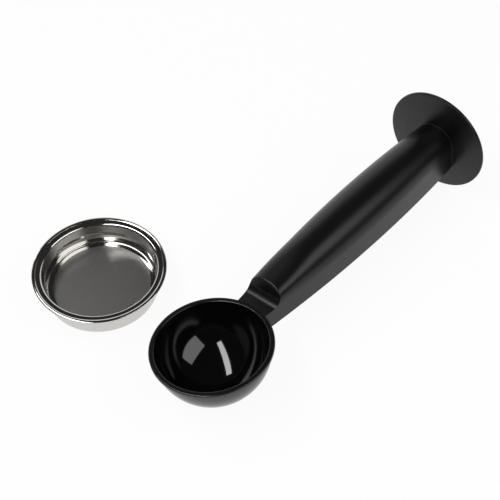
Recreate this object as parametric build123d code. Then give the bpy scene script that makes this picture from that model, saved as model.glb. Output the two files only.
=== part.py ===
from build123d import *
import os
from math import asin, cos, degrees, hypot, pi, radians, sin, sqrt, tan

# A coffee measure with a tamper on its other end, and the shallow filter basket of a
# portafilter that goes with it. The measure lies on its bowl and on the edge of its
# tamping disc, leaning a little to one side, and the basket stands beside it.
#
# The scoop is drawn in its own frame first: origin at the centre of the bowl's rim,
# +X along the handle to the disc, +Z square to the rim. The basket is drawn standing on
# z = 0 round its own axis. Millimetres and degrees throughout.

# ---- how the set lies -------------------------------------------------------------------
scoop_lean = 7.5             # roll of the scoop about its handle, away from level
basket_ahead = 3.1           # basket axis, ahead of the bowl's centre along the handle
basket_aside = 71.4          # and to the left of it
basket_turn = 116.0          # direction of the basket's locating notch

# ---- scoop bowl -------------------------------------------------------------------------
bowl_radius = 25.0           # outside of the hemisphere
bowl_wall = 1.3
bowl_depth = 25.5            # rim plane to the outside of the bottom
lip_width = 1.0              # how far the lip stands out from the bowl
lip_height = 1.6
lip_rounding = 0.5

# ---- tongue that joins the bowl to the handle ------------------------------------------
tongue_thickness = 3.2
barb_length = 2.2
barb_depth = 0.9

# ---- handle -----------------------------------------------------------------------------
handle_end = 152.8           # where the handle meets the disc's collar
belly_at = 100.5             # widest point of the handle
belly_width = 24.1
neck_at = 28.0               # where the neck's width is measured
neck_width = 16.1
handle_wall = 2.0
edge_drop_neck = 8.6         # bottom edge below the axis, at neck_at
edge_drop_end = 10.9         # and at handle_end
step_foot = 32.6             # foot of the wall that ends the thumb rest
step_slant = 17.0            # lean of that wall from upright
step_fillet = 3.0
step_edge_rounding = 0.8
neck_roof = 2.4              # plate under the thumb rest
rib_thickness = 1.4
rib_pitch = 15.5
rib_recess = 1.2             # ribs stop this far above the bottom edge
first_rib = 41.0

# ---- tamping disc -----------------------------------------------------------------------
disc_radius = 25.5
disc_edge = 1.5              # thickness at the rim
disc_hub = 2.5               # thickness beside the handle
disc_rounding = 0.5
collar_flare = 1.6           # collar's length, flared out to the disc
plug_length = 8.0
plug_wall = 2.0

# ---- basket -----------------------------------------------------------------------------
basket_height = 14.2
rim_width = 3.4              # rim, outside the cup's upper wall
cup_sheet = 0.45             # sheet of the outer cup
liner_sheet = 0.40           # sheet of the perforated liner
cup_radius = 25.5            # outside of the cup's lower wall
cup_step = 1.1               # widening of the wall at the bead
step_height = 8.9            # height of that bead
cup_corner = 1.5
hem_width = 1.7              # cup's edge, folded in over the liner's flange
hem_rounding = 0.4
throat_radius = 1.3          # rounding from the liner's wall to its flange
liner_floor = 2.8            # top of the perforated floor
liner_corner = 0.7
outlet_radius = 0.6          # hole in the cup's bottom
outlet_dimple = 2.0          # radius of the pressed ring round it
outlet_rise = 0.5
notch_length = 6.6
notch_depth = 0.5
bump_curve = 1.6             # locating dimple pressed in from outside
bump_rise = 0.5
bump_height = 10.6
hole_radius = 0.25           # perforation
hole_pitch = 2.3
hole_margin = 3.0            # plain sheet between the holes and the wall

# ---- clearances -------------------------------------------------------------------------
seat_gap = 0.05              # glued or welded faces
slip_gap = 0.10              # plugs and tongues

# ---- worked out -------------------------------------------------------------------------
bowl_centre = bowl_radius - bowl_depth            # height of the hemisphere's centre
bowl_inside = bowl_radius - bowl_wall
belly = belly_width / 2
belly_gain = (belly_width - neck_width) / 2
belly_reach = belly_at - neck_at
side_arc = (belly_reach ** 2 + belly_gain ** 2) / (2 * belly_gain)
slant = tan(radians(step_slant))
disc_front = handle_end + collar_flare
disc_face = disc_front + disc_hub                 # the flat face that presses the coffee
tongue_top = -neck_roof - slip_gap
tongue_bottom = tongue_top - tongue_thickness
barb_start = first_rib + rib_thickness / 2 + slip_gap
tongue_end = barb_start + barb_length
rim_radius = cup_radius + cup_step + rim_width
liner_radius = cup_radius - cup_sheet - seat_gap  # outside of the liner's lower wall
flange_base = basket_height - 2 * cup_sheet - liner_sheet - 2 * seat_gap
liner_flange = flange_base + cup_sheet + seat_gap
bump_centre = cup_radius + cup_step + bump_curve - bump_rise


def half_width(x, inset=0.0):
    """Half the handle's width at x: one circular arc that bulges at the belly."""
    arc = side_arc - inset
    return belly - side_arc + sqrt(arc ** 2 - (x - belly_at) ** 2)


def edge_drop(x):
    """Depth of the handle's straight bottom edge below the axis at x."""
    slope = (edge_drop_end - edge_drop_neck) / (handle_end - neck_at)
    return edge_drop_neck + slope * (x - neck_at)


def block(x0, x1, y0, y1, z0, z1):
    """A box between two corners."""
    box = Box(x1 - x0, y1 - y0, z1 - z0)
    return Pos((x0 + x1) / 2, (y0 + y1) / 2, (z0 + z1) / 2) * box


def rounded(face, corners, radius):
    """A profile with some of its corners rounded."""
    for x, y in corners:
        near = face.vertices().sort_by_distance((x, y, 0))[0]
        face = fillet(near, radius)
    return face


def spun(face):
    """Solid of revolution about Z of a profile drawn as (radius, height)."""
    return revolve(Plane.XZ * face, Axis.Z)


# ---- scoop ------------------------------------------------------------------------------
def bowl_outline(gap=0.0):
    """Outside of the bowl from its lip to its bottom, as profile edges."""
    under = -lip_height - gap
    radius = bowl_radius + gap
    start = degrees(asin((under - bowl_centre) / radius))
    ball = CenterArc((0, bowl_centre), radius, start, -90 - start)
    lip = bowl_radius + lip_width + gap
    return [Line((lip, 0), (lip, under)), Line((lip, under), ball @ 0), ball]


def bowl_envelope(gap=0.0):
    """The bowl's outside, filled, grown by a gap."""
    wall = bowl_outline(gap)
    bottom = wall[-1] @ 1
    return spun(make_face(wall + [Line(bottom, (0, 0)), Line((0, 0), wall[0] @ 0)]))


def bowl_cup():
    """The bowl alone: a hemisphere with a rounded lip."""
    wall = bowl_outline()
    inside = CenterArc((0, bowl_centre), bowl_inside, -90, 90)
    rim = (bowl_inside, 0)
    face = make_face(wall + [Line(wall[-1] @ 1, inside @ 0), inside,
                             Line(inside @ 1, rim), Line(rim, wall[0] @ 0)])
    corners = [rim, (bowl_radius + lip_width, 0), (bowl_radius + lip_width, -lip_height)]
    return spun(rounded(face, corners, lip_rounding))


def make_scoop_bowl():
    """The bowl with the barbed tongue that plugs into the handle."""
    half = half_width(bowl_inside, handle_wall) - slip_gap
    tongue = block(bowl_centre, tongue_end, -half, half, tongue_bottom, tongue_top)
    barb = extrude(Plane.XZ * make_face(Polyline(
        (barb_start, tongue_bottom + barb_depth), (barb_start, tongue_bottom - barb_depth),
        (barb_start + barb_length, tongue_bottom), close=True)), half / 2, both=True)
    middle = (bowl_inside + bowl_radius) / 2
    core = Pos(0, 0, bowl_centre) * Sphere(middle)
    return bowl_cup() + ((tongue + barb) - core)


def side_outline(x0, x1, inset):
    """Plan of the handle between two stations."""
    mid = (x0 + x1) / 2
    left = [(x, half_width(x, inset)) for x in (x0, mid, x1)]
    right = [(x, -y) for x, y in left]
    return make_face([
        ThreePointArc(*left), Line(left[2], right[2]),
        ThreePointArc(*right), Line(left[0], right[0])])


def barrel(x0, x1, inset):
    """Half-round back on straight sides, reaching below the bottom edge."""
    mid = (x0 + x1) / 2
    back = [(x, half_width(x, inset)) for x in (x0, mid, x1)]
    half = make_face([
        ThreePointArc(*back), Line(back[2], (x1, 0)),
        Line((x1, 0), (x0, 0)), Line((x0, 0), back[0])])
    top = revolve(half, Axis.X, 180)
    sides = extrude(side_outline(x0, x1, inset), -2 * edge_drop_end)
    return top + sides


def above_edge(recess=0.0):
    """Everything above the handle's bottom edge."""
    x0, x1, high = 0.0, 2 * handle_end, 2 * belly
    profile = make_face(Polyline(
        (x0, -edge_drop(x0) + recess), (x1, -edge_drop(x1) + recess),
        (x1, high), (x0, high), close=True))
    return extrude(Plane.XZ * profile, 2 * belly, both=True)


def above_thumb_rest(thickness=0.0):
    """Space over the thumb rest, in front of the slanted wall, grown by a thickness."""
    foot = step_foot + thickness / cos(radians(step_slant)) - thickness * slant
    high = 2 * belly
    corners = [(0, -thickness), (foot, -thickness),
               (foot + slant * (high + thickness), high), (0, high)]
    profile = make_face(Polyline(*corners, close=True))
    corner = profile.vertices().sort_by_distance((foot, -thickness, 0))[0]
    profile = fillet(corner, step_fillet + thickness)
    return extrude(Plane.XZ * profile, 2 * belly, both=True)


def rib_stations():
    """Cross ribs, evenly spaced from the first to the one before the plug."""
    last = handle_end - plug_length - 2 * rib_thickness
    count = int((last - first_rib) // rib_pitch)
    step = (last - first_rib) / count
    return [first_rib + step * i for i in range(count + 1)]


def make_handle_shell():
    """Barrel shell, open below, with a thumb rest at its neck and ribs inside."""
    start = bowl_radius / 2
    shell = (barrel(start, handle_end, 0) & above_edge()) - above_thumb_rest()
    edge = shell.edges().filter_by_position(
        Axis.Z, half_width(step_foot) * 0.6, belly).sort_by(Axis.X)[0]
    shell = fillet(edge, step_edge_rounding)
    core = barrel(start - handle_wall, disc_front, handle_wall) - above_thumb_rest(neck_roof)
    half = rib_thickness / 2
    wide = 2 * belly
    plates = block(first_rib, rib_stations()[-1], -half, half, -wide, wide)
    for x in rib_stations():
        plates += block(x - half, x + half, -wide, wide, -wide, wide)
    ribs = core & plates & above_edge(rib_recess)
    window = half_width(bowl_inside, handle_wall)
    ribs -= block(first_rib - rib_thickness, tongue_end + slip_gap, -window, window,
                  tongue_bottom - slip_gap, tongue_top + slip_gap)
    ribs -= block(first_rib + half, tongue_end + slip_gap, -window, window,
                  tongue_bottom - barb_depth - slip_gap, tongue_top)
    shell = (shell - core) + ribs
    return shell - bowl_envelope(seat_gap)


def make_tamper_disc():
    """Flat disc with a flared collar and a hollow plug that fills the handle's end."""
    hub = hypot(half_width(disc_front), edge_drop(disc_front)) + collar_flare
    profile = make_face(Polyline(
        (0, disc_front), (hub, disc_front), (disc_radius, disc_face - disc_edge),
        (disc_radius, disc_face), (0, disc_face), close=True))
    edge = [(disc_radius, disc_face - disc_edge), (disc_radius, disc_face)]
    plate = Rot(0, 90, 0) * spun(rounded(profile, edge, disc_rounding))
    collar = barrel(handle_end, disc_front + disc_hub / 2, 0) & above_edge()
    disc = plate + collar
    near = disc.edges().filter_by_position(Axis.X, disc_front - 0.01, disc_front + 0.01)
    foot = near.filter_by(lambda e: hypot((e @ 0.5).Y, (e @ 0.5).Z) < hub - 0.1)
    disc = fillet(foot, collar_flare * 0.9)
    start = handle_end - plug_length
    inset = handle_wall + slip_gap
    plug = barrel(start, disc_front, inset) - barrel(
        start - plug_wall, handle_end, inset + plug_wall)
    return disc + (plug & above_edge(rib_recess))


# ---- basket -----------------------------------------------------------------------------
def make_basket_cup():
    """Outer cup: pressed outlet, beaded wall, and a rim hemmed in over the liner."""
    wide = cup_radius + cup_step
    top, sheet = basket_height, cup_sheet
    bead = step_height - cup_step
    hem_inner = rim_radius - hem_width
    pressed = outlet_dimple - outlet_rise
    under = [(outlet_radius, outlet_rise), (pressed, outlet_rise), (outlet_dimple, 0),
             (cup_radius, 0), (cup_radius, bead), (wide, step_height),
             (wide, flange_base), (rim_radius, flange_base), (rim_radius, top),
             (hem_inner, top)]
    over = [(hem_inner, top - sheet), (rim_radius - sheet, top - sheet),
            (rim_radius - sheet, flange_base + sheet), (wide - sheet, flange_base + sheet),
            (wide - sheet, step_height), (cup_radius - sheet, bead),
            (cup_radius - sheet, sheet), (outlet_dimple, sheet),
            (pressed, outlet_rise + sheet), (outlet_radius, outlet_rise + sheet)]
    face = make_face(Polyline(*under, *over, close=True))
    nest = throat_radius - liner_sheet - seat_gap
    face = rounded(face, [(cup_radius, 0)], cup_corner)
    face = rounded(face, [(cup_radius - sheet, sheet)], cup_corner - sheet)
    face = rounded(face, [(wide - sheet, flange_base + sheet)], nest)
    face = rounded(face, [(wide, flange_base)], nest - sheet)
    face = rounded(face, [(rim_radius, top), (rim_radius, flange_base)], hem_rounding)
    face = rounded(face, [(hem_inner, top)], sheet / 3)
    cup = dimpled(spun(face), wide, bump_curve, cup_sheet)
    outer = rim_radius - notch_depth
    half = notch_length / 2
    cup += block(outer - sheet, outer + sheet / 2, -half - sheet, half + sheet,
                 flange_base + sheet / 2, top - sheet / 2)
    return cup - block(outer, rim_radius + notch_depth, -half, half, step_height, 2 * top)


def dimpled(shell, radius, curve, sheet):
    """Press the locating dimple into an upright wall of that outside radius."""
    place = Pos(bump_centre, 0, bump_height)
    bulge = place * Sphere(curve + sheet) & Pos(0, 0, bump_height) * Cylinder(
        radius - sheet / 4, 4 * bump_curve)
    return (shell + bulge) - place * Sphere(curve)


def perforated_floor(radius):
    """Flat plate of the liner's sheet with rings of fine holes."""
    holes = []
    rings = int((cup_radius - cup_sheet - liner_sheet - hole_margin) // hole_pitch)
    for ring in range(1, rings + 1):
        count = round(2 * pi * ring)
        for i in range(count):
            turn = 2 * pi * i / count
            spot = Pos(ring * hole_pitch * cos(turn), ring * hole_pitch * sin(turn))
            holes.append(spot * Wire.make_circle(hole_radius))
    face = Face(Wire.make_circle(radius), holes)
    return Pos(0, 0, liner_floor - liner_sheet) * extrude(face, liner_sheet, dir=(0, 0, 1))


def make_basket_liner():
    """Perforated liner: fine holes in its floor and a flange held by the cup's hem."""
    wide = liner_radius + cup_step
    sheet = liner_sheet
    bead = step_height - cup_step
    flat = liner_radius - 2 * sheet - liner_corner
    flange = rim_radius - notch_depth - cup_sheet - slip_gap
    under = [(flat, liner_floor - sheet), (liner_radius, liner_floor - sheet),
             (liner_radius, bead), (wide, step_height), (wide, liner_flange),
             (flange, liner_flange)]
    over = [(flange, liner_flange + sheet), (wide - sheet, liner_flange + sheet),
            (wide - sheet, step_height), (liner_radius - sheet, bead),
            (liner_radius - sheet, liner_floor), (flat, liner_floor)]
    face = make_face(Polyline(*under, *over, close=True))
    face = rounded(face, [under[1]], liner_corner + sheet)
    face = rounded(face, [over[4]], liner_corner)
    face = rounded(face, [under[4]], throat_radius - sheet)
    face = rounded(face, [over[1]], throat_radius)
    wall = spun(face)
    wall = dimpled(wall, wide, bump_curve + cup_sheet + seat_gap, sheet)
    return wall + perforated_floor(flat)


# ---- the set ----------------------------------------------------------------------------
def make_set():
    """Every node, lying on z = 0 with the middle of the set's box over the origin."""
    lying = Pos(0, 0, disc_radius) * Rot(-scoop_lean, 0, 0)
    standing = Pos(basket_ahead, basket_aside, 0) * Rot(0, 0, basket_turn)
    nodes = {
        "scoop_bowl": lying * make_scoop_bowl(),
        "handle_shell": lying * make_handle_shell(),
        "tamper_disc": lying * make_tamper_disc(),
        "basket_cup": standing * make_basket_cup(),
        "basket_liner": standing * make_basket_liner(),
    }
    box = Compound(list(nodes.values())).bounding_box()
    middle = Pos(-box.center().X, -box.center().Y, 0)
    print("set", box.size, "bowl's centre at", middle.position)
    return {name: middle * solid for name, solid in nodes.items()}


os.makedirs("parts", exist_ok=True)
for name, solid in make_set().items():
    export_step(solid, "parts/" + name + ".step")
    print(name, round(solid.volume), "mm3,", len(solid.solids()), "solid")
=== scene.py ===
# %% [markdown]
# # A coffee scoop with a tamper, and a filter basket
# The set has two things that are kept together: a black plastic scoop whose handle ends
# in a flat tamping disc, and a shallow steel filter basket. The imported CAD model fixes
# every size and place. This scene gives each piece a smooth surface and its finish.

# %% Load the fixed frame
from math import atan2, cos, hypot, pi, radians, sin, tan

import bmesh
import bpy
import numpy as np
from mathutils import Matrix, Vector


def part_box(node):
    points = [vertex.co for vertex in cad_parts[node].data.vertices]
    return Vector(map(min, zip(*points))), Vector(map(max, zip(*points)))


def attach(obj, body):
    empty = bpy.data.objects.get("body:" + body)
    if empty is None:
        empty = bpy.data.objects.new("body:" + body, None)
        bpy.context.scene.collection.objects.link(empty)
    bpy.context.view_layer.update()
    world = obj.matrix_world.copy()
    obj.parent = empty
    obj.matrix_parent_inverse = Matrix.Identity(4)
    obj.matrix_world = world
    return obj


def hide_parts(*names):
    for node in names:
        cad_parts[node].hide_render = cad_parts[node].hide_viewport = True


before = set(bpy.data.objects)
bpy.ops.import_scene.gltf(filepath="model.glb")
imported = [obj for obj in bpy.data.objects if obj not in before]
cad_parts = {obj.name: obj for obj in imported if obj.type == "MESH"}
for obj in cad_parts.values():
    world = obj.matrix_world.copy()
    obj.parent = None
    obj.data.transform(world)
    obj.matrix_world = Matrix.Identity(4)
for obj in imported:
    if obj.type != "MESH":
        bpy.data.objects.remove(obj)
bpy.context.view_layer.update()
print("CAD nodes", sorted(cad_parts))

# %% [markdown]
# ## Where the two things are
# Each is drawn in a frame of its own, in millimetres, because its shape is simple there:
# the scoop round the middle of its bowl's rim with X along the handle, the basket round
# its own axis. The boxes of the disc and of the cup say where those frames lie, because
# both are round and so are their boxes.

# %% Frames of the scoop and of the basket
mm = 0.001
disc_low, disc_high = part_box("tamper_disc")
cup_low, cup_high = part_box("basket_cup")
disc_radius = (disc_high.z - disc_low.z) / 2 / mm
disc_face = 156.9            # from the bowl's centre to the disc's flat face
scoop_lean = radians(7.5)    # the scoop has rolled a little to one side
basket_turn = radians(116)   # direction of the basket's locating notch
scoop_frame = Matrix.Translation((
    disc_high.x - disc_face * mm, (disc_low.y + disc_high.y) / 2, disc_radius * mm))
scoop_frame = scoop_frame @ Matrix.Rotation(-scoop_lean, 4, "X") @ Matrix.Scale(mm, 4)
basket_frame = Matrix.Translation((
    (cup_low.x + cup_high.x) / 2, (cup_low.y + cup_high.y) / 2, 0))
basket_frame = basket_frame @ Matrix.Rotation(basket_turn, 4, "Z") @ Matrix.Scale(mm, 4)
print("bowl's centre", scoop_frame.translation, "basket's centre", basket_frame.translation)

# %% [markdown]
# ## Surfaces as grids of points
# A moulding or a pressing is one smooth skin. Each one here is worked out as a grid of
# points, rows by columns, and every square of four neighbours becomes a face. Points that
# fall together, at a pole or where the grid closes on itself, are merged, and the faces
# are then turned outwards.


# %% From a grid to a mesh
def squares(rows, columns):
    """Corner numbers of every square of a grid."""
    corner = np.arange(rows * columns).reshape(rows, columns)
    sides = (corner[:-1, :-1], corner[:-1, 1:], corner[1:, 1:], corner[1:, :-1])
    return np.stack([s.ravel() for s in sides], axis=1)


def skin(name, grids, place, sharp=60):
    """One closed mesh from several grids of points, shaded smooth but for sharp edges."""
    points, faces, start = [], [], 0
    for grid in grids:
        rows, columns, _ = grid.shape
        points.append(grid.reshape(-1, 3))
        faces.append(squares(rows, columns) + start)
        start += rows * columns
    points = np.concatenate(points)
    turn = np.array(place)[:3, :3]
    mesh = bpy.data.meshes.new(name)
    mesh.from_pydata(points @ turn.T + np.array(place)[:3, 3], [], np.concatenate(faces))
    work = bmesh.new()
    work.from_mesh(mesh)
    bmesh.ops.remove_doubles(work, verts=work.verts, dist=1e-6)
    bmesh.ops.dissolve_degenerate(work, edges=work.edges, dist=1e-7)
    bmesh.ops.recalc_face_normals(work, faces=work.faces)
    work.to_mesh(mesh)
    work.free()
    mesh.shade_smooth()
    mesh.set_sharp_from_angle(angle=radians(sharp))
    piece = bpy.data.objects.new(name, mesh)
    bpy.context.collection.objects.link(piece)
    print(name, len(mesh.polygons), "faces")
    return piece


# %% Profiles with rounded corners
def rounded(corners, spacing=1.0, arc_steps=8):
    """Points along a path of (x, y, rounding) corners.

    Each rounding is an arc that touches both runs at rounding * tan(half the turn) from the
    corner, and the straight runs are divided evenly."""
    path = [np.array(corners[0][:2], float)[None]]
    for before, here, after in zip(corners, corners[1:], corners[2:]):
        corner = np.array(here[:2], float)
        back = np.array(before[:2], float) - corner
        ahead = np.array(after[:2], float) - corner
        back /= hypot(*back)
        ahead /= hypot(*ahead)
        half = np.arccos(np.clip(-back @ ahead, -1, 1)) / 2
        if here[2] == 0 or half == 0:
            path.append(corner[None])
            continue
        reach = here[2] * tan(half)
        centre = corner + (back + ahead) / hypot(*(back + ahead)) * here[2] / cos(half)
        first, last = corner + back * reach - centre, corner + ahead * reach - centre
        t = np.linspace(0, 1, arc_steps + 1)[:, None]
        sweep = (np.sin((1 - t) * 2 * half) * first + np.sin(t * 2 * half) * last)
        path.append(centre + sweep / sin(2 * half))
    path.append(np.array(corners[-1][:2], float)[None])
    path = np.concatenate(path)
    runs = [path[:1]]
    for start, end in zip(path, path[1:]):
        parts = max(1, round(hypot(*(end - start)) / spacing))
        runs.append(start + (end - start) * (np.arange(1, parts + 1) / parts)[:, None])
    return np.concatenate(runs)


def spun(profile, turns):
    """Grid of a surface of revolution about Z, from a (radius, height) profile."""
    radius, height = profile[:, 0, None], profile[:, 1, None]
    return np.stack([
        radius * np.cos(turns), radius * np.sin(turns), height + 0 * turns], axis=-1)


# %% [markdown]
# ## The scoop's bowl
# A hemisphere moulded in gloss black plastic, with a thin wall and a small lip. It is a
# surface of revolution: a profile from the middle of the inside, over the lip, to the
# middle of the outside. A sphere primitive would have neither the wall nor the lip.

# %% Bowl
bowl_radius = 25.0
bowl_wall = 1.3
bowl_depth = 25.5
lip_width = 1.0
lip_height = 1.6
lip_rounding = 0.5
bowl_middle = bowl_radius - bowl_depth


def ball(radius, start, end, steps=96):
    """Arc of a circle round the bowl's centre, in the (radius, height) plane."""
    angle = np.radians(np.linspace(start, end, steps))
    return np.stack([radius * np.cos(angle), bowl_middle + radius * np.sin(angle)], axis=1)


def bowl_profile():
    """Inside of the bowl, its lip, and its outside down to the bottom."""
    inside = ball(bowl_radius - bowl_wall, -90, 0)
    under = np.degrees(np.arcsin((-lip_height - bowl_middle) / bowl_radius))
    outside = ball(bowl_radius, under, -90)
    lip = bowl_radius + lip_width
    over = rounded([
        (*inside[-1], 0), (inside[-1][0], 0, lip_rounding), (lip, 0, lip_rounding),
        (lip, -lip_height, lip_rounding / 2), (*outside[0], 0)], spacing=0.5)
    return np.concatenate([inside[:-1], over, outside[1:]])


full_turn = np.linspace(0, 2 * pi, 241)
bowl = skin("bowl", [spun(bowl_profile(), full_turn)], scoop_frame)

# %% [markdown]
# ## The handle
# A long half-round barrel that swells towards its end, open underneath like most
# moulded handles, with a flat thumb rest cut into its neck. Its outside is one grid: the
# columns go round the section, and each row is a station along it. At the thumb rest a
# column first follows the flat, climbs the slanted wall, and then runs on along the
# barrel, so the crisp edge between them is a line of the grid.

# %% Handle sizes
handle_end = 152.8
belly_at, belly = 100.5, 12.05
neck_at, neck = 28.0, 8.05
handle_wall = 2.0
edge_drop_neck, edge_drop_end = 8.6, 10.9
step_foot, step_slant, step_fillet = 32.6, radians(17), 4.5
step_edge = 0.9
neck_roof = 2.4
neck_squareness, neck_flatness, squared_until = 2.75, 0.85, 62.0
seat_gap = 0.05
side_arc = ((belly_at - neck_at) ** 2 + (belly - neck) ** 2) / (2 * (belly - neck))


def half_width(x, inset=0.0):
    """Half the handle's width at x: one circular arc that bulges at the belly."""
    return belly - side_arc + np.sqrt((side_arc - inset) ** 2 - (x - belly_at) ** 2)


def back(x, bearing, inset=0.0):
    """Point (y, z) of the rounded back at each bearing.

    It is a superellipse, |y / width| ** n + |z / height| ** n = 1: a half circle over most
    of the handle, which grows squarer and lower towards the neck."""
    nearness = np.clip((squared_until - x) / (squared_until - step_foot), 0, 1)
    nearness = nearness * nearness * (3 - 2 * nearness)
    power = 2 / (2 + (neck_squareness - 2) * nearness)
    width = half_width(x, inset)
    height = width * (1 + (neck_flatness - 1) * nearness)
    y = width * np.sign(np.cos(bearing)) * np.abs(np.cos(bearing)) ** power
    return y, height * np.abs(np.sin(bearing)) ** power


def edge_drop(x):
    """Depth of the straight bottom edge below the handle's axis at x."""
    slope = (edge_drop_end - edge_drop_neck) / (handle_end - neck_at)
    return edge_drop_neck + slope * (x - neck_at)


def step_curve(s, sunk=0.0):
    """Thumb rest's profile at length s past the start of its fillet.

    Flat before 0, then a circular fillet, then the slanted wall. It is sunk into the
    plastic by that depth for the underside."""
    radius = step_fillet + sunk
    turn = pi / 2 - step_slant
    foot = step_foot + sunk / cos(step_slant) - sunk * tan(step_slant)
    start = foot - radius * tan(turn / 2)
    angle = np.clip(s / radius, 0, turn)
    past = np.maximum(s - radius * turn, 0)
    x = start + np.minimum(s, 0) + radius * np.sin(angle) + past * sin(step_slant)
    z = -sunk + radius * (1 - np.cos(angle)) + past * cos(step_slant)
    return x, z


def step_height(x, sunk=0.0):
    """Height of that profile at x."""
    s = np.linspace(-60, 60, 6001)
    return np.interp(x, *step_curve(s, sunk))


def bowl_side(y, z, gap=seat_gap):
    """Where a line along X at (y, z) meets the outside of the bowl."""
    return np.sqrt(np.maximum((bowl_radius + gap) ** 2 - y ** 2 - (z - bowl_middle) ** 2, 1))


# %% Handle's outside
flat_rows, wall_rows, edge_rows, back_rows = 14, 24, 8, 110
side_columns, back_columns = 10, 72
row_crowding = 1.15          # rows lie closer together near the step

# Each column's bearing on the back, and how far down the straight side it lies.
column_bearing = np.concatenate([
    np.full(side_columns, pi), np.linspace(pi, 0, back_columns + 1), np.zeros(side_columns)])
column_drop = np.concatenate([
    np.linspace(1, 0, side_columns + 1)[:-1], np.zeros(back_columns + 1),
    np.linspace(0, 1, side_columns + 1)[1:]])


def climb(bearing, shortest=0.3, longest=20.0):
    """Length of the step's profile at which it meets the barrel, for each column.

    It is found by halving: before that length the profile lies under the barrel."""
    low, high = np.full(bearing.shape, shortest), np.full(bearing.shape, longest)
    for _ in range(40):
        middle = (low + high) / 2
        x, z = step_curve(middle)
        under = z < back(x, bearing)[1]
        low, high = np.where(under, middle, low), np.where(under, high, middle)
    return low


def handle_stations(bearing):
    """Stations of every row (x, limit of z) for columns at these bearings on the back."""
    meet = climb(np.maximum(bearing, 0))
    ease = np.minimum(step_edge, 0.45 * meet)
    t = np.linspace(0, 1, wall_rows)[:, None]
    wall_x, wall_z = step_curve((meet - ease) * t)
    wall_z = np.minimum(wall_z, back(wall_x, bearing)[1])
    corner_x, _ = step_curve(meet)
    corner_z = back(corner_x, bearing)[1]
    crest_z = back(corner_x + ease, bearing)[1]
    t = np.linspace(0, 1, edge_rows + 2)[1:, None]
    blend = ((1 - t) ** 2, 2 * t * (1 - t), t ** 2)
    edge_x = blend[0] * wall_x[-1] + blend[1] * corner_x + blend[2] * (corner_x + ease)
    edge_z = blend[0] * wall_z[-1] + blend[1] * corner_z + blend[2] * crest_z
    t = np.linspace(0, 1, back_rows + 1)[1:, None] ** row_crowding
    back_x = edge_x[-1] + (handle_end - edge_x[-1]) * t
    back_z = back(back_x, bearing)[1]
    return (np.concatenate([wall_x, edge_x, back_x]), np.concatenate([wall_z, edge_z, back_z]))


def handle_outside():
    """Grid of the barrel: up one side, over the back, and down the other side.

    Over the back a point is the lower of the rounded back and the step, and on the sides
    it drops straight to the bottom edge."""
    flat_sides = np.cos(column_bearing) ** 2 > 0.9999
    x, z = handle_stations(np.where(flat_sides, 0.0, column_bearing))
    y = back(x, column_bearing)[0]
    z = z - column_drop * edge_drop(x)
    low_y, low_z = y[0], z[0]
    for _ in range(6):
        begin = bowl_side(low_y, low_z)
        low_y = back(begin, column_bearing)[0]
        low_z = -column_drop * edge_drop(begin)
    t = np.linspace(0, 1, flat_rows + 1)[:-1, None]
    flat_x = begin + (x[0] - begin) * t
    flat_y = back(flat_x, column_bearing)[0]
    flat_z = -column_drop * edge_drop(flat_x)
    return np.stack([
        np.concatenate([flat_x, x]), np.concatenate([flat_y, y]),
        np.concatenate([flat_z, z])], axis=-1)


# %% Handle's inside, bottom rim and ends
def handle_inside(outside):
    """Grid of the hollow under the barrel, row for row and column for column.

    The wall's thickness is taken off the half width, and the neck's roof lies under the
    thumb rest."""
    x = np.repeat(outside[:, :1, 0], outside.shape[1], axis=1)
    y, z = back(x, column_bearing, handle_wall)
    z = np.where(column_drop > 0, -column_drop * edge_drop(x), z)
    z = np.minimum(z, step_height(x, neck_roof))
    x = np.maximum(x, bowl_side(y, z))
    return np.stack([x, y, z], axis=-1)


outside = handle_outside()
inside = handle_inside(outside)
rims = [np.stack([outside[:, c], inside[:, c]]) for c in (0, -1)]
ends = [np.stack([outside[r], inside[r]]) for r in (0, -1)]
handle = skin("handle", [outside, inside, *rims, *ends], scoop_frame, sharp=50)

# %% [markdown]
# ## Ribs under the handle
# Thin ribs stiffen the open side. Each one is a flat plate whose outline is the hollow's
# section, so it is a grid of two outlines with a fan of faces on each side.

# %% Ribs
rib_thickness, rib_pitch, rib_recess, first_rib = 1.4, 15.5, 1.2, 41.0
rib_root = 0.3
plug_length = 8.0
last_rib = handle_end - plug_length - 2 * rib_thickness
rib_count = int((last_rib - first_rib) // rib_pitch) + 1


def plate(outline, across, thickness):
    """Grids of a flat plate: its edge, and both faces drawn in to the outline's middle."""
    half = np.array(across) * thickness / 2
    middle = np.broadcast_to(outline.mean(axis=0), outline.shape)
    layers = [middle - half, outline - half, outline + half, middle + half]
    return np.stack(layers)


def hollow_section(x, columns=49):
    """Closed outline of the hollow at x, down to the ribs' lower edge."""
    across, top = back(x, np.linspace(0, pi, columns), handle_wall - rib_root)
    top = np.minimum(top, step_height(x, neck_roof) + rib_root)
    width = across[0]
    y = np.concatenate([[width], across, [-width], [width]])
    z = np.concatenate([[rib_recess - edge_drop(x)], top, [rib_recess - edge_drop(x)] * 2])
    return np.stack([np.full(y.shape, x), y, z], axis=-1)


ribs = []
for number, x in enumerate(np.linspace(first_rib, last_rib, rib_count)):
    grid = plate(hollow_section(x), (1, 0, 0), rib_thickness)
    ribs.append(skin(f"cross_rib_{number}", [grid], scoop_frame, sharp=30))

along = np.linspace(first_rib, last_rib, 60)
crown = back(along, pi / 2, handle_wall - rib_root)[1]
crown = np.minimum(crown, step_height(along, neck_roof) + rib_root)
low = rib_recess - edge_drop(along)
ridge = np.stack([
    np.concatenate([along, along[::-1], along[:1]]), np.zeros(121),
    np.concatenate([crown, low[::-1], crown[:1]])], axis=-1)
ribs.append(skin("long_rib", [plate(ridge, (0, 1, 0), rib_thickness)], scoop_frame, sharp=30))

# %% [markdown]
# ## The tongue
# The bowl plugs into the handle with a flat barbed tongue that is hidden under the thumb
# rest and seen only from below. It is a rounded bar, carried along X.

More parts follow.
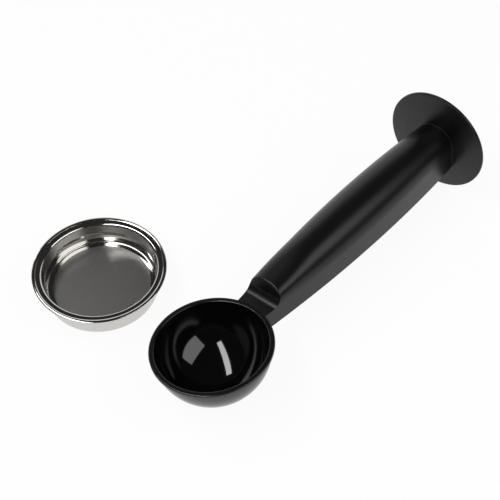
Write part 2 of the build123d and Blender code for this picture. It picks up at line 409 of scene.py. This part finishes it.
# %% Tongue
tongue_thickness, barb_length, barb_depth, slip_gap = 3.2, 2.2, 0.9, 0.10
tongue_rounding, barb_rounding = 0.3, 0.15
nose_length, nose_scale = 0.4, 0.85    # the tongue's drawn-in tip
root_depth = 0.5                       # how far the tongue reaches into the bowl's wall
tongue_half = half_width(bowl_radius - bowl_wall, handle_wall) - slip_gap
tongue_top = -neck_roof - slip_gap
tongue_bottom = tongue_top - tongue_thickness
barb_start = first_rib + rib_thickness / 2 + slip_gap
tongue_section = rounded([
    (0, tongue_top, 0), (tongue_half, tongue_top, tongue_rounding),
    (tongue_half, tongue_bottom, tongue_rounding),
    (-tongue_half, tongue_bottom, tongue_rounding),
    (-tongue_half, tongue_top, tongue_rounding), (0, tongue_top, 0)], spacing=2)


def bar(section, stations):
    """Grid of a section (y, z) carried along X through (x, scale) stations."""
    middle = section.mean(axis=0)
    rows = [np.column_stack([np.full(len(section), x), middle + (section - middle) * scale])
            for x, scale in stations]
    return np.stack(rows)


root = float(bowl_side(0, tongue_bottom, -root_depth))
tip = barb_start + barb_length
tongue = skin("tongue", [bar(tongue_section, [
    (root, 0), (root, 1), (tip - nose_length, 1), (tip, nose_scale), (tip, 0)])],
    scoop_frame, sharp=35)
barb_section = rounded([
    (barb_start, tongue_bottom, 0), (barb_start, tongue_bottom - barb_depth, barb_rounding),
    (tip, tongue_bottom, 0), (barb_start, tongue_bottom, 0)], spacing=1)
barb_outline = np.column_stack([
    barb_section[:, 0], np.zeros(len(barb_section)), barb_section[:, 1]])
barb = skin("barb", [plate(barb_outline, (0, 1, 0), tongue_half)], scoop_frame, sharp=35)

# %% [markdown]
# ## The tamping disc
# A thin flat disc on a short flared collar, moulded with a plug that fills the handle's
# open end. Seen along the handle every part of it is a closed outline round the axis, so
# one grid does for all: at each bearing the reach goes out along the plug and the collar
# to the rim of the disc, and comes back in across the flat face.

# %% Tamping disc
disc_edge, disc_hub, disc_rounding = 1.5, 2.5, 0.5
collar_flare = 1.6
plug_chamfer = 0.4
disc_front = disc_face - disc_hub


def section_reach(x, bearing, inset=0.0, raised=0.0):
    """Distance from the axis to the handle's section at each bearing."""
    width = half_width(x, inset)
    depth = edge_drop(x) - raised
    across = width / np.maximum(np.abs(np.cos(bearing)), 1e-6)
    down = depth / np.maximum(-np.sin(bearing), 1e-6)
    return np.where(np.sin(bearing) >= 0, width, np.minimum(across, down))


corner = atan2(edge_drop(disc_front), half_width(disc_front))
bearings = np.sort(np.concatenate([
    np.linspace(-pi / 2, 3 * pi / 2, 241), [-corner, pi + corner]]))
fillet = collar_flare / 8
collar_reach = section_reach(disc_front, bearings)
flare = [(disc_front - fillet + fillet * sin(t), collar_reach + fillet * (1 - cos(t)))
         for t in np.linspace(0, pi / 2, 9)]
hub = hypot(half_width(disc_front), edge_drop(disc_front)) + collar_flare
rim_profile = rounded([
    (disc_front, hub, 0), (disc_face - disc_edge, disc_radius, disc_rounding),
    (disc_face, disc_radius, disc_rounding), (disc_face, 0, 0)], spacing=1.5, arc_steps=6)
inner = handle_wall + slip_gap
plug_reach = section_reach(handle_end, bearings, inner, rib_recess)
rows = [
    (handle_end - plug_length, 0 * bearings),
    (handle_end - plug_length, plug_reach - plug_chamfer),
    (handle_end - plug_length + plug_chamfer, plug_reach), (handle_end, plug_reach),
    (handle_end, section_reach(handle_end, bearings)), *flare,
    *[(x, np.full(bearings.shape, reach)) for x, reach in rim_profile]]
disc_grid = np.stack([
    np.stack([np.full(bearings.shape, x), reach * np.cos(bearings), reach * np.sin(bearings)],
             axis=-1) for x, reach in rows])
tamper = skin("tamper", [disc_grid], scoop_frame, sharp=40)

# %% [markdown]
# ## The filter basket
# Two pressings of thin stainless steel. The outer cup has a stepped wall and a rim whose
# edge is folded over the flange of the inner liner, and the liner's floor is finely
# perforated. Both are surfaces of revolution of a closed strip of sheet, with more columns
# near the notch and the dimple that locate the basket in its holder.

# %% Basket sizes and columns
cup_radius, cup_step, cup_height = 25.5, 1.1, (cup_high.z - cup_low.z) / mm
rim_radius = (cup_high.x - cup_low.x) / 2 / mm
cup_sheet, liner_sheet = 0.45, 0.40
bead_height, cup_corner = 8.9, 1.5
hem_width, hem_rounding, hem_fall, hem_crown = 1.7, 0.4, 0.35, 1.2
bead_step, bead_rounding, bead_hollow = 0.5, 0.6, 0.4
throat_radius = 1.3
liner_floor, liner_corner = 2.8, 0.7
outlet_radius, outlet_dimple, outlet_rise, outlet_rounding = 0.6, 2.0, 0.5, 0.3
notch_length, notch_depth, notch_ramp = 6.6, 0.5, 0.08
bump_curve, bump_rise, bump_height = 1.6, 0.5, 10.6
bump_band = 1.0              # only points this close to the wall's radius are pressed in
liner_radius = cup_radius - cup_sheet - seat_gap
flange_base = cup_height - 2 * cup_sheet - liner_sheet - 2 * seat_gap
notch_half = notch_length / 2 / rim_radius
fine = np.linspace(-1.6 * notch_half, 1.6 * notch_half, 81)
coarse = np.linspace(1.6 * notch_half, 2 * pi - 1.6 * notch_half, 233)
basket_turns = np.concatenate([fine, coarse[1:]])


def notched(grid):
    """Bring the rim in by the notch's depth, with short ramps at both of its ends."""
    radius = np.hypot(grid[..., 0], grid[..., 1])
    bearing = np.arctan2(grid[..., 1], grid[..., 0])
    ramp = np.clip((notch_half - np.abs(bearing)) / (notch_ramp * notch_half), 0, 1)
    limit = rim_radius - notch_depth * ramp
    share = np.minimum(1, limit / np.maximum(radius, 1e-6))
    return grid * np.stack([share, share, np.ones(share.shape)], axis=-1)


def dimpled(grid, wall_radius, press):
    """Press a ball of that radius into the wall from outside, at bearing 0."""
    centre = np.array([cup_radius + cup_step + bump_curve - bump_rise, 0, bump_height])
    offset = grid - centre
    side = offset[..., 1] ** 2 + offset[..., 2] ** 2
    dent = centre[0] - np.sqrt(np.maximum(press ** 2 - side, 0))
    touched = (side < press ** 2) & (np.abs(grid[..., 0] - wall_radius) < bump_band)
    moved = grid.copy()
    moved[..., 0] = np.where(touched, np.minimum(grid[..., 0], dent), grid[..., 0])
    return moved


# %% Outer cup
def cup_profile():
    """Closed strip of the cup's sheet: outside from the outlet to the hem, and back."""
    wide, sheet = cup_radius + cup_step, cup_sheet
    bead = bead_height - cup_step
    waist = cup_radius + bead_step
    hem_inner = rim_radius - hem_width
    pressed = outlet_dimple - outlet_rise
    nest = throat_radius - liner_sheet - seat_gap
    return rounded([
        (outlet_radius, outlet_rise, 0), (pressed, outlet_rise, outlet_rounding),
        (outlet_dimple, 0, outlet_rounding), (cup_radius, 0, cup_corner),
        (cup_radius, bead, bead_rounding), (waist, bead_height, bead_rounding),
        (wide, flange_base, nest - sheet), (rim_radius, flange_base, hem_rounding),
        (rim_radius, cup_height - hem_fall, hem_rounding),
        (rim_radius - hem_width / 2, cup_height, hem_crown),
        (hem_inner, cup_height - hem_fall, sheet / 3), (hem_inner, cup_height - sheet, 0),
        (rim_radius - sheet, cup_height - sheet, 0),
        (rim_radius - sheet, flange_base + sheet, 0), (wide - sheet, flange_base + sheet, nest),
        (waist - sheet, bead_height, bead_hollow), (cup_radius - sheet, bead, bead_hollow),
        (cup_radius - sheet, sheet, cup_corner - sheet), (outlet_dimple, sheet, outlet_rounding),
        (pressed, outlet_rise + sheet, outlet_rounding), (outlet_radius, outlet_rise + sheet, 0),
        (outlet_radius, outlet_rise, 0)], spacing=0.5, arc_steps=6)


cup_grid = spun(cup_profile(), basket_turns)
cup_grid = dimpled(notched(cup_grid), cup_radius + cup_step, bump_curve)
cup = skin("basket_outer_cup", [cup_grid], basket_frame, sharp=45)


# %% Perforated liner
def liner_profile():
    """Closed strip of the liner's sheet: underside out to the flange, and the top back."""
    wide, sheet = liner_radius + cup_step, liner_sheet
    bead = bead_height - cup_step
    waist = liner_radius + bead_step
    low = flange_base + cup_sheet + seat_gap
    flange = rim_radius - notch_depth - cup_sheet - slip_gap
    return rounded([
        (0, liner_floor - sheet, 0), (liner_radius, liner_floor - sheet, liner_corner + sheet),
        (liner_radius, bead, bead_hollow), (waist, bead_height, bead_hollow),
        (wide, low, throat_radius - sheet), (flange, low, 0), (flange, low + sheet, 0),
        (wide - sheet, low + sheet, throat_radius),
        (waist - sheet, bead_height, bead_rounding), (liner_radius - sheet, bead, bead_rounding),
        (liner_radius - sheet, liner_floor, liner_corner), (0, liner_floor, 0)],
        spacing=0.5, arc_steps=8)


liner_grid = spun(liner_profile(), basket_turns)
liner_grid = dimpled(liner_grid, liner_radius + cup_step, bump_curve + cup_sheet + seat_gap)
liner = skin("basket_liner_sheet", [liner_grid], basket_frame, sharp=45)

# %% [markdown]
# ## Each piece rides on its body
# The scoop is the body that stays, and the basket is the one that can be lifted off. A new
# piece stands for the CAD node of the same part, which is then hidden.

# %% Ride and replace
for piece, body, node, slot in (
        (bowl, "scoop", "scoop_bowl", "bowl_plastic"),
        (handle, "scoop", "handle_shell", "handle_plastic"),
        (tamper, "scoop", "tamper_disc", "disc_plastic"),
        (cup, "basket", "basket_cup", "cup_steel"),
        (liner, "basket", "basket_liner", "liner_steel")):
    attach(piece, body)
    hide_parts(node)
for piece in ribs:
    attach(piece, "scoop")
for piece in (tongue, barb):
    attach(piece, "scoop")

# %% [markdown]
# ## Writing a material as sums
# A node material is a formula. This class wraps one output socket, and Python's own
# operators on it add the Math nodes, so a mask can be written as it would be on paper.


# %% Sockets with operators
class Wire:
    """One output socket of a material's nodes, or none for the material itself."""

    def __init__(self, tree, socket=None):
        self.tree = tree
        self.socket = socket

    def node(self, kind, settings=None, inputs=None, output=0):
        """Add a node of that type: its settings first, then values or wires for its sockets."""
        node = self.tree.nodes.new(kind)
        for name, value in (settings or {}).items():
            setattr(node, name, value)
        for name, value in (inputs or {}).items():
            if isinstance(value, Wire):
                self.tree.links.new(value.socket, node.inputs[name])
            else:
                node.inputs[name].default_value = value
        return Wire(self.tree, node.outputs[output] if node.outputs else None)

    def twin(self, name):
        """Another output of the same node."""
        return Wire(self.tree, self.socket.node.outputs[name])

    def maths(self, operation, first, second=0.0):
        """Add a Math node."""
        return self.node("ShaderNodeMath", {"operation": operation}, {0: first, 1: second})

    def __add__(self, other):
        return self.maths("ADD", self, other)

    def __sub__(self, other):
        return self.maths("SUBTRACT", self, other)

    def __rsub__(self, other):
        return self.maths("SUBTRACT", other, self)

    def __mul__(self, other):
        return self.maths("MULTIPLY", self, other)

    def __truediv__(self, other):
        return self.maths("DIVIDE", self, other)

    __radd__ = __add__
    __rmul__ = __mul__


def material(name):
    """An empty node material, and the wire that its nodes are added with."""
    made = bpy.data.materials.new(name)
    made.use_nodes = True
    made.node_tree.nodes.clear()
    return made, Wire(made.node_tree)


def surface(made, wire, **inputs):
    """Close a material with a Principled shader; names have _ for spaces."""
    values = {name.replace("_", " "): value for name, value in inputs.items()}
    shader = wire.node("ShaderNodeBsdfPrincipled", inputs=values)
    wire.node("ShaderNodeOutputMaterial", inputs={"Surface": shader})
    return made


def places(wire):
    """The object's own coordinates, in metres."""
    return wire.node("ShaderNodeTexCoord", output="Object")


def noise(wire, at, size, detail=2.0, roughness=0.5):
    """Cloudy noise whose patches are about that size in metres, from 0 to 1."""
    return wire.node("ShaderNodeTexNoise", inputs={
        "Vector": at, "Scale": 1 / size, "Detail": detail, "Roughness": roughness},
        output="Fac")


def tint(wire, mask, dark, pale):
    """Colour between two, by a mask from 0 to 1."""
    return wire.node("ShaderNodeMix", {"data_type": "RGBA"}, {
        0: mask, 6: (*dark, 1), 7: (*pale, 1)}, output=2)


# %% [markdown]
# ## Black plastic
# Both mouldings are black. The handle and the disc have a satin skin from a finely eroded
# mould: a very fine bump, and a roughness that drifts a little where hands have rubbed it.
# A matt skin mirrors less than a polished one, so its index is set a little lower. The bowl
# came out of a polished mould, so it is almost a mirror at the bottom, and it gets duller
# towards the rim, where it is touched and wiped.


# %% Satin plastic
def satin_plastic(name):
    """Black with a fine mould grain, slight rubbing and dust-fine speckle."""
    made, wire = material(name)
    at = places(wire)
    drift = noise(wire, at, 0.018, 3)
    grain = noise(wire, at, 0.0005, 2, 0.6)
    bump = wire.node("ShaderNodeBump", inputs={
        "Height": grain, "Strength": 0.12, "Distance": 0.00005})
    colour = tint(wire, drift, (0.0018, 0.0018, 0.0019), (0.0032, 0.0032, 0.0033))
    return surface(
        made, wire, Base_Color=colour, Roughness=0.28 + 0.06 * drift + 0.04 * grain,
        Normal=bump, IOR=1.4)


# %% Gloss plastic
def gloss_plastic(name):
    """Black with a polished skin, faint waves of the moulding, and duller near the rim."""
    made, wire = material(name)
    at = places(wire)
    wave = noise(wire, at, 0.02, 1)
    speck = noise(wire, at, 0.0012, 2)
    height = wire.node("ShaderNodeSeparateXYZ", inputs={0: at}, output=2)
    scuffed = wire.node("ShaderNodeMapRange", {"interpolation_type": "SMOOTHSTEP"}, {
        0: height / mm, 1: 8.0, 2: 24.0})
    bump = wire.node("ShaderNodeBump", inputs={
        "Height": wave, "Strength": 0.02, "Distance": 0.00005})
    colour = tint(wire, speck, (0.0010, 0.0010, 0.0010), (0.0022, 0.0022, 0.0022))
    return surface(
        made, wire, Base_Color=colour, Roughness=0.05 + 0.03 * speck + 0.17 * scuffed,
        Normal=bump, IOR=1.55)


satin = satin_plastic("satin_black_plastic")
gloss = gloss_plastic("gloss_black_plastic")
for piece in (handle, tamper, *ribs):
    piece.data.materials.append(satin)
for piece in (bowl, tongue, barb):
    piece.data.materials.append(gloss)

# %% [markdown]
# ## Stainless steel
# The basket is spun and polished steel: metallic, with fine rings round its axis that only
# show as a slight bump. The liner's floor has the perforation, a lattice of fine holes,
# drawn with the distance to the nearest hole of a triangular lattice. Too fine to cut into
# the mesh, the holes are painted black and the floor between them is painted a darker grey.
# Both are painted shade for the light that the holes swallow. The floor is also duller than
# plain sheet.


# %% Spun steel
steel_dark, steel_pale = (0.56, 0.55, 0.53), (0.63, 0.62, 0.60)
ring_width, cloud_width = 0.25, 0.012


def from_axis(wire, at, centre):
    """Distance from the basket's axis, its two parts across, and the height, in mm."""
    split = wire.node("ShaderNodeSeparateXYZ", inputs={0: at})
    across = (split - centre[0]) / mm
    along = (split.twin(1) - centre[1]) / mm
    reach = wire.maths("SQRT", across * across + along * along)
    return reach, across, along, split.twin(2) / mm


def rings(wire, reach, height, size):
    """Fine rings left by spinning: noise that changes only with reach and height."""
    spot = wire.node("ShaderNodeCombineXYZ", inputs={0: reach, 1: height})
    return wire.node("ShaderNodeTexNoise", inputs={
        "Vector": spot, "Scale": 1 / size, "Detail": 3.0}, output="Fac")


def spun_steel(name):
    """Polished sheet with faint spinning rings."""
    made, wire = material(name)
    at = places(wire)
    reach, _, _, height = from_axis(wire, at, basket_frame.translation)
    ring = rings(wire, reach, height, ring_width)
    cloud = noise(wire, at, cloud_width, 3)
    bump = wire.node("ShaderNodeBump", inputs={
        "Height": ring, "Strength": 0.03, "Distance": 0.00001})
    return surface(
        made, wire, Base_Color=tint(wire, cloud, steel_dark, steel_pale), Metallic=1.0,
        Roughness=0.05 + 0.04 * ring + 0.04 * cloud, Normal=bump)


# %% Perforated steel
hole_pitch, hole_radius, plain_margin = 0.70, 0.12, 2.6
burr_reach = 1.5             # edge of a hole's raised burr, in hole radii
floor_slack = 0.3            # how far over the liner's floor the holes are still drawn
# Painted shade: the floor's darker grey and the holes' black stand in for light lost in the
# unmodelled holes.
floor_steel_painted_shade, hole_painted_shade = (0.30, 0.295, 0.285, 1), (0.01, 0.01, 0.01, 1)


def nearest_hole(wire, across, along):
    """Distance in millimetres to the nearest point of a triangular lattice.

    The lattice is two rectangular ones, the second shifted by half a cell, and the nearest
    point is the nearer of the two."""
    def cell(value, length, shift):
        turn = wire.maths("FRACT", value / length + shift)
        return (turn - 0.5) * length

    found = []
    for shift in (0.0, 0.5):
        a = cell(across, hole_pitch, shift)
        b = cell(along, hole_pitch * 3 ** 0.5, shift)
        found.append(wire.maths("SQRT", a * a + b * b))
    return wire.maths("MINIMUM", *found)


def perforated_steel(name):
    """The liner's sheet: spun steel with a lattice of fine holes in its floor, the floor painted
    darker and the holes black as painted shade.
    """
    made, wire = material(name)
    at = places(wire)
    reach, across, along, height = from_axis(wire, at, basket_frame.translation)
    edge = liner_radius - liner_sheet - plain_margin
    level = wire.maths("LESS_THAN", height, liner_floor + floor_slack)
    inside = wire.maths("LESS_THAN", reach, edge) * level
    gap = nearest_hole(wire, across, along)
    hole = inside * wire.maths("LESS_THAN", gap, hole_radius)
    burr = inside * wire.maths("LESS_THAN", gap, hole_radius * burr_reach)
    ring = rings(wire, reach, height, ring_width)
    cloud = noise(wire, at, cloud_width, 3)
    bump = wire.node("ShaderNodeBump", inputs={
        "Height": 0.1 * ring - burr, "Strength": 0.1, "Distance": 0.00002})
    bright = tint(wire, cloud, steel_dark, steel_pale)
    # Painted shade: the perforated floor gets the darker grey, and each hole gets black.
    steel = wire.node("ShaderNodeMix", {"data_type": "RGBA"}, {
        0: inside, 6: bright, 7: floor_steel_painted_shade}, output=2)
    base = wire.node("ShaderNodeMix", {"data_type": "RGBA"}, {
        0: hole, 6: steel, 7: hole_painted_shade}, output=2)
    return surface(
        made, wire, Base_Color=base, Metallic=1 - hole,
        Roughness=0.06 + 0.04 * ring + 0.04 * cloud + 0.28 * inside + 0.3 * hole, Normal=bump)


cup.data.materials.append(spun_steel("spun_steel"))
liner.data.materials.append(perforated_steel("perforated_steel"))

# %% [markdown]
# ## Floor, world and lights
# A white floor that stays white to the camera and in reflections, and still takes a soft
# shadow. Behind the set it bends up like a sheet of paper, so that the steel and the far
# side of the handle mirror white there too. The lights are one large softbox on the right
# and a long strip overhead on the left, placed by their direction from the set. The bowl
# mirrors both of them.


# %% Floor
def seen(wire):
    """1 for rays from the camera, from a mirror or through glass, and 0 for light."""
    camera = wire.node("ShaderNodeLightPath", output="Is Camera Ray")
    mirrored = wire.maths("MAXIMUM", camera, camera.twin("Is Glossy Ray"))
    return wire.maths("MAXIMUM", mirrored, camera.twin("Is Transmission Ray"))


def floor_material():
    """White paint mixed with plain white, so that only part of the shadow shows."""
    made, wire = material("white_floor")
    paint = wire.node("ShaderNodeBsdfDiffuse", inputs={"Color": (0.85, 0.85, 0.85, 1)})
    plain = wire.node("ShaderNodeEmission", inputs={"Color": (1, 1, 1, 1), "Strength": 1.0})
    both = wire.node("ShaderNodeMixShader", inputs={0: 0.93 * seen(wire), 1: paint, 2: plain})
    wire.node("ShaderNodeOutputMaterial", inputs={"Surface": both})
    return made


def sweep(front, back_edge, top, bend, half_span):
    """Grid of paper that lies flat from its front edge and bends up behind the set.

    Its profile (forward, height) is a straight run, a quarter circle and an upright run."""
    profile = rounded([
        (-front, 0, 0), (back_edge, 0, bend), (back_edge, top, 0)], spacing=0.5, arc_steps=24)
    across = np.linspace(-half_span, half_span, 9)
    ahead = np.array([cos(view_azimuth), sin(view_azimuth), 0])
    aside = np.array([-sin(view_azimuth), cos(view_azimuth), 0])
    return (profile[:, 0, None, None] * ahead + profile[:, 1, None, None] * np.array([0, 0, 1])
            + across[:, None] * aside)


view_azimuth = radians(42.6)
floor = skin("floor", [sweep(4.0, 1.5, 1.1, 0.5, 4.0)], Matrix.Translation((0, 0, -0.0002)))
floor.data.materials.append(floor_material())


# %% World
def make_world(fill, mirrored):
    """Dim studio: white to the camera, a dark room in mirrors, and a low fill light."""
    world = bpy.data.worlds.new("studio")
    world.use_nodes = True
    world.node_tree.nodes.clear()
    wire = Wire(world.node_tree)
    camera = wire.node("ShaderNodeLightPath", output="Is Camera Ray")
    mirror = camera.twin("Is Glossy Ray")
    strength = fill + camera * (1 - fill) + mirror * (mirrored - fill)
    sky = wire.node("ShaderNodeBackground", inputs={"Color": (1, 1, 1, 1), "Strength": strength})
    wire.node("ShaderNodeOutputWorld", inputs={"Surface": sky})
    bpy.context.scene.world = world


make_world(fill=0.25, mirrored=0.03)


# %% Lights
def direction(azimuth, elevation):
    """Unit vector, azimuth from X towards Y and elevation from the floor, in degrees."""
    a, e = radians(azimuth), radians(elevation)
    return Vector((cos(e) * cos(a), cos(e) * sin(a), sin(e)))


def softbox(name, towards, along, distance, width, height, radiance):
    """Rectangular light seen in a direction, its width lying along another."""
    lamp = bpy.data.lights.new(name, "AREA")
    lamp.shape = "RECTANGLE"
    lamp.size, lamp.size_y = width, height
    lamp.energy = radiance * pi * width * height
    light = bpy.data.objects.new(name, lamp)
    back = towards.normalized()
    side = (along - back * along.dot(back)).normalized()
    up = back.cross(side)
    light.matrix_world = Matrix.Translation(back * distance) @ Matrix(
        (side, up, back)).transposed().to_4x4()
    bpy.context.collection.objects.link(light)
    return light


softbox("right_softbox", direction(-76, 42), direction(14, 0), 1.1, 1.0, 0.60, 2.4)
strip_ends = direction(-161, 48), direction(96, 52)
softbox("overhead_strip", strip_ends[0] + strip_ends[1], strip_ends[1] - strip_ends[0],
        1.1, 1.55, 0.21, 9.0)

# %% [markdown]
# ## Camera
# It stands in front of the bowl and looks down over it along the handle and across the
# basket, from half a metre, with a long lens so that the near bowl isn't stretched.

# %% Camera
lens_data = bpy.data.cameras.new("camera")
lens_data.lens = 79.9
lens_data.sensor_width = 36
camera = bpy.data.objects.new("camera", lens_data)
stand = Vector((-0.2439, -0.2244, 0.3964))
aim = Vector((-0.00176, -0.00201, 0))
roll = radians(-1.13)
look = (aim - stand).to_track_quat("-Z", "Y").to_matrix().to_4x4()
camera.matrix_world = Matrix.Translation(stand) @ look @ Matrix.Rotation(roll, 4, "Z")
bpy.context.collection.objects.link(camera)
bpy.context.scene.camera = camera
bpy.context.scene.view_settings.view_transform = "Standard"
